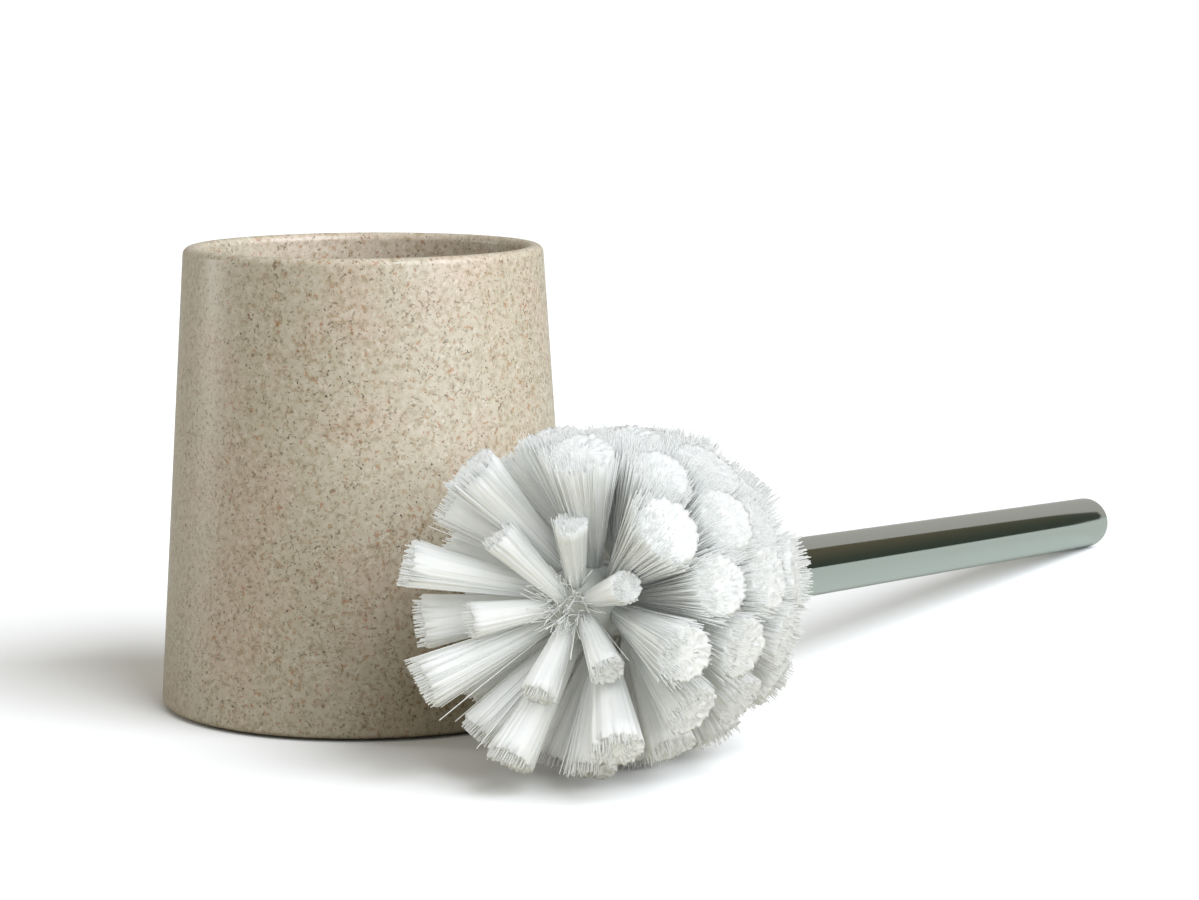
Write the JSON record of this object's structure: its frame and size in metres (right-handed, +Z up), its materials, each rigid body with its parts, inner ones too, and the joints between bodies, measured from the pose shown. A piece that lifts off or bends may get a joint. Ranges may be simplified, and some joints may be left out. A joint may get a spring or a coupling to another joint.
{
  "type": "toilet brush holder",
  "caption": "Tapered stone-effect resin cup on a foam pad, with a tufted white toilet brush on a straight chromed tube handle lying in front of it.",
  "frame": {"origin": "centre of the foam pad's underside, on the floor, on the cup's axis", "axes": "+Z up along the cup's axis; +X to the right and -Y towards the viewer when the brush lies in front and to the right"},
  "size_m": [0.2953, 0.3606, 0.118],
  "materials": {
    "sandstone_resin": "cast polyresin with a sandstone fleck, satin",
    "foam": "closed-cell foam, skived",
    "white_plastic": "injection-moulded polypropylene, white",
    "bristle": "extruded polypropylene filament, white, cut ends",
    "chrome": "mirror-bright chromium plate on a drawn tube",
    "plug_plastic": "injection-moulded, natural grey"
  },
  "bodies": {
    "holder": {"holder_cup": "sandstone_resin", "base_pad": "foam"},
    "handle": {"handle_tube": "chrome", "handle_plug": "plug_plastic"},
    "head": {"brush_core": "white_plastic", "nose_tuft_1": "bristle", "nose_tuft_2": "bristle", "nose_tuft_3": "bristle", "nose_tuft_4": "bristle", "nose_tuft_5": "bristle", "nose_tuft_6": "bristle", "row_1_tuft_1": "bristle", "row_1_tuft_2": "bristle", "row_1_tuft_3": "bristle", "row_1_tuft_4": "bristle", "row_1_tuft_5": "bristle", "row_1_tuft_6": "bristle", "row_1_tuft_7": "bristle", "row_1_tuft_8": "bristle", "row_2_tuft_1": "bristle", "row_2_tuft_2": "bristle", "row_2_tuft_3": "bristle", "row_2_tuft_4": "bristle", "row_2_tuft_5": "bristle", "row_2_tuft_6": "bristle", "row_2_tuft_7": "bristle", "row_2_tuft_8": "bristle", "row_3_tuft_1": "bristle", "row_3_tuft_2": "bristle", "row_3_tuft_3": "bristle", "row_3_tuft_4": "bristle", "row_3_tuft_5": "bristle", "row_3_tuft_6": "bristle", "row_3_tuft_7": "bristle", "row_3_tuft_8": "bristle", "row_4_tuft_1": "bristle", "row_4_tuft_2": "bristle", "row_4_tuft_3": "bristle", "row_4_tuft_4": "bristle", "row_4_tuft_5": "bristle", "row_4_tuft_6": "bristle", "row_4_tuft_7": "bristle", "row_4_tuft_8": "bristle", "row_5_tuft_1": "bristle", "row_5_tuft_2": "bristle", "row_5_tuft_3": "bristle", "row_5_tuft_4": "bristle", "row_5_tuft_5": "bristle", "row_5_tuft_6": "bristle", "row_5_tuft_7": "bristle", "row_5_tuft_8": "bristle", "row_6_tuft_1": "bristle", "row_6_tuft_2": "bristle", "row_6_tuft_3": "bristle", "row_6_tuft_4": "bristle", "row_6_tuft_5": "bristle", "row_6_tuft_6": "bristle", "row_6_tuft_7": "bristle", "row_6_tuft_8": "bristle"}
  },
  "joints": [
    {"name": "brush_lift", "type": "slide", "parent": "holder", "child": "handle", "axis": [0, 0, 1], "range_m": [0, 0.2]},
    {"name": "head_unscrew", "type": "hinge", "parent": "handle", "child": "head", "pos_m": [0.07602, -0.05162, 0.03729], "axis": [-0.5009, -0.8606, 0.0924], "range_deg": [0, 1620]}
  ]
}
